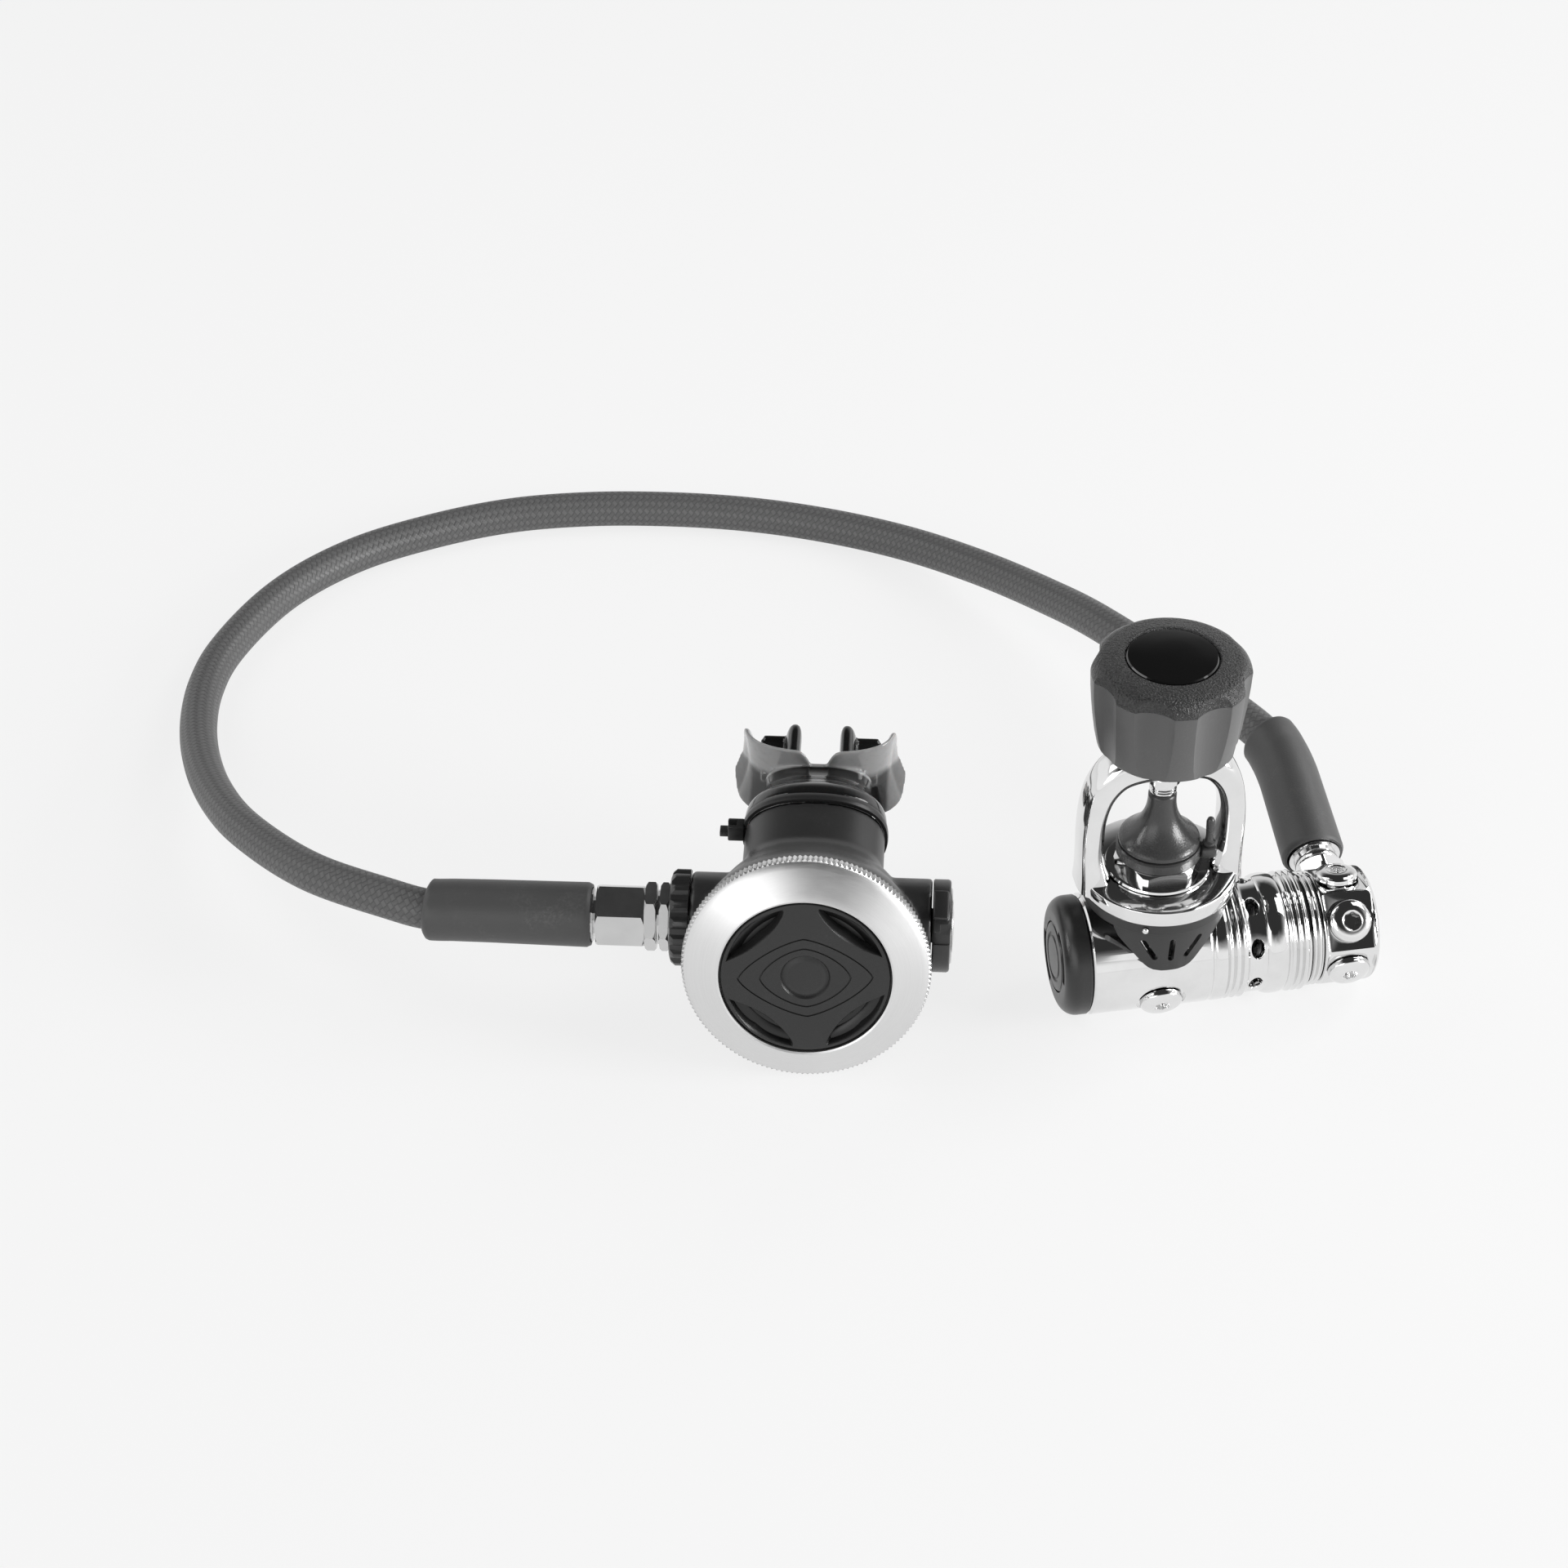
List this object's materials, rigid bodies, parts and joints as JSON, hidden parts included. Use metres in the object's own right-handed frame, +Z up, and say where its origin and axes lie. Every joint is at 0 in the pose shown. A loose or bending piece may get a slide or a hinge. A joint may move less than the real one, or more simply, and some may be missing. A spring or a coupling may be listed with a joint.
{
  "type": "scuba regulator set",
  "caption": "Diving regulator: yoke first stage with swivel turret, braided low-pressure hose and demand second stage with mouthpiece.",
  "frame": {"origin": "on the supporting surface, under the middle of the two stages taken together without the hose", "axes": "+Z up; +X to the right as the diver would see the purge cover from the front, from the second stage towards the first; -Y is the side of the purge cover, +Y the side of the mouthpiece and the hose loop"},
  "size_m": [0.3698, 0.2952, 0.124],
  "materials": {
    "chrome": "polished chrome plate",
    "satin_metal": "satin nickel plate",
    "black_plastic": "fine-grained moulded",
    "gloss_black": "polished lens",
    "black_rubber": "matt moulded",
    "hose_rubber": "matt with a woven relief",
    "silicone": "smooth, slightly translucent",
    "clear_silicone": "thin, milky",
    "brass": "machined",
    "steel": "bright drawn"
  },
  "bodies": {
    "first_stage": {"body_shell": "chrome", "end_cap": "black_plastic", "end_cap_badge": "black_plastic", "piston_seat": "black_plastic", "main_spring": "steel", "body_shroud": "black_plastic", "shroud_stud": "chrome", "yoke": "chrome", "yoke_retainer": "chrome", "inlet_filter": "brass", "filter_clip": "steel", "dust_cap_strap": "black_rubber", "dust_cap": "black_rubber", "strap_peg": "black_rubber", "high_plug_front": "chrome", "high_plug_rear": "chrome", "turret_hub": "chrome", "turret_bolt": "chrome"},
    "screw_carriage": {"screw_tip": "chrome"},
    "knob": {"yoke_screw": "chrome", "yoke_knob": "black_plastic", "knob_badge": "gloss_black"},
    "piston": {"piston": "brass"},
    "turret": {"turret_housing": "chrome", "low_plug_1": "chrome", "low_plug_2": "chrome", "low_plug_3": "chrome", "hose_end_first": "chrome", "hose_sleeve_first": "black_rubber", "hose": "hose_rubber", "hose_sleeve_second": "black_rubber", "hose_end_second": "satin_metal"},
    "second_stage": {"swivel_nut": "satin_metal", "inlet_adapter": "satin_metal", "inlet_lock_nut": "satin_metal", "inlet_cap": "black_plastic", "case": "black_plastic", "cover_ring": "satin_metal", "diaphragm": "clear_silicone", "valve_tube": "satin_metal", "inlet_seat": "brass", "poppet_spring": "steel", "exhaust_valve": "clear_silicone", "exhaust_tee": "black_plastic", "mouthpiece": "silicone", "mouthpiece_tie": "black_plastic"},
    "purge": {"purge_cover": "black_plastic"},
    "sensing_plate": {"diaphragm_plate": "steel"},
    "lever": {"demand_lever": "steel"},
    "poppet": {"poppet": "black_plastic"},
    "air_guide": {"venturi_knob": "black_plastic", "venturi_badge": "satin_metal"}
  },
  "joints": [
    {"name": "screw_feed", "type": "slide", "parent": "first_stage", "child": "screw_carriage", "axis": [0, 0, 1], "range_m": [0, 0.00875]},
    {"name": "knob_turn", "type": "hinge", "parent": "screw_carriage", "child": "knob", "pos_m": [0.04822, -0.01622, 0.10778], "axis": [0, 0, 1], "range_deg": [0, 1800]},
    {"name": "piston_stroke", "type": "slide", "parent": "first_stage", "child": "piston", "axis": [-0.9848, -0.1736, 0], "range_m": [0, 0.0015], "stiffness_N_per_m": 3000},
    {"name": "turret_swivel", "type": "hinge", "parent": "first_stage", "child": "turret", "pos_m": [0.10392, -0.0064, 0.01778], "axis": [0.9848, 0.1736, 0], "continuous": true},
    {"name": "hose_swivel", "type": "hinge", "parent": "turret", "child": "second_stage", "pos_m": [-0.10267, -0.02365, 0.03538], "axis": [0.9987, -0.0506, 0], "continuous": true},
    {"name": "purge_press", "type": "slide", "parent": "second_stage", "child": "purge", "axis": [0.0499, 0.985, -0.165], "range_m": [0, 0.004], "stiffness_N_per_m": 400},
    {"name": "plate_travel", "type": "slide", "parent": "second_stage", "child": "sensing_plate", "axis": [0.0499, 0.985, -0.165], "range_m": [0, 0.004]},
    {"name": "lever_tilt", "type": "hinge", "parent": "second_stage", "child": "lever", "pos_m": [-0.06122, -0.03562, 0.03703], "axis": [0.0083, 0.1648, 0.9863], "range_deg": [0, 13.47]},
    {"name": "poppet_lift", "type": "slide", "parent": "second_stage", "child": "poppet", "axis": [0.9987, -0.0506, 0], "range_m": [0, 0.001]},
    {"name": "air_guide_turn", "type": "hinge", "parent": "second_stage", "child": "air_guide", "pos_m": [-0.01478, -0.0281, 0.03538], "axis": [0.9987, -0.0506, 0], "range_deg": [0, 60]}
  ],
  "couplings": [
    {"joint": "screw_feed", "follows": "knob_turn", "m_per_rad": 0.00027852},
    {"joint": "plate_travel", "follows": "purge_press", "ratio": 1},
    {"joint": "lever_tilt", "follows": "purge_press", "rad_per_m": 58.75},
    {"joint": "poppet_lift", "follows": "purge_press", "ratio": 0.25}
  ]
}
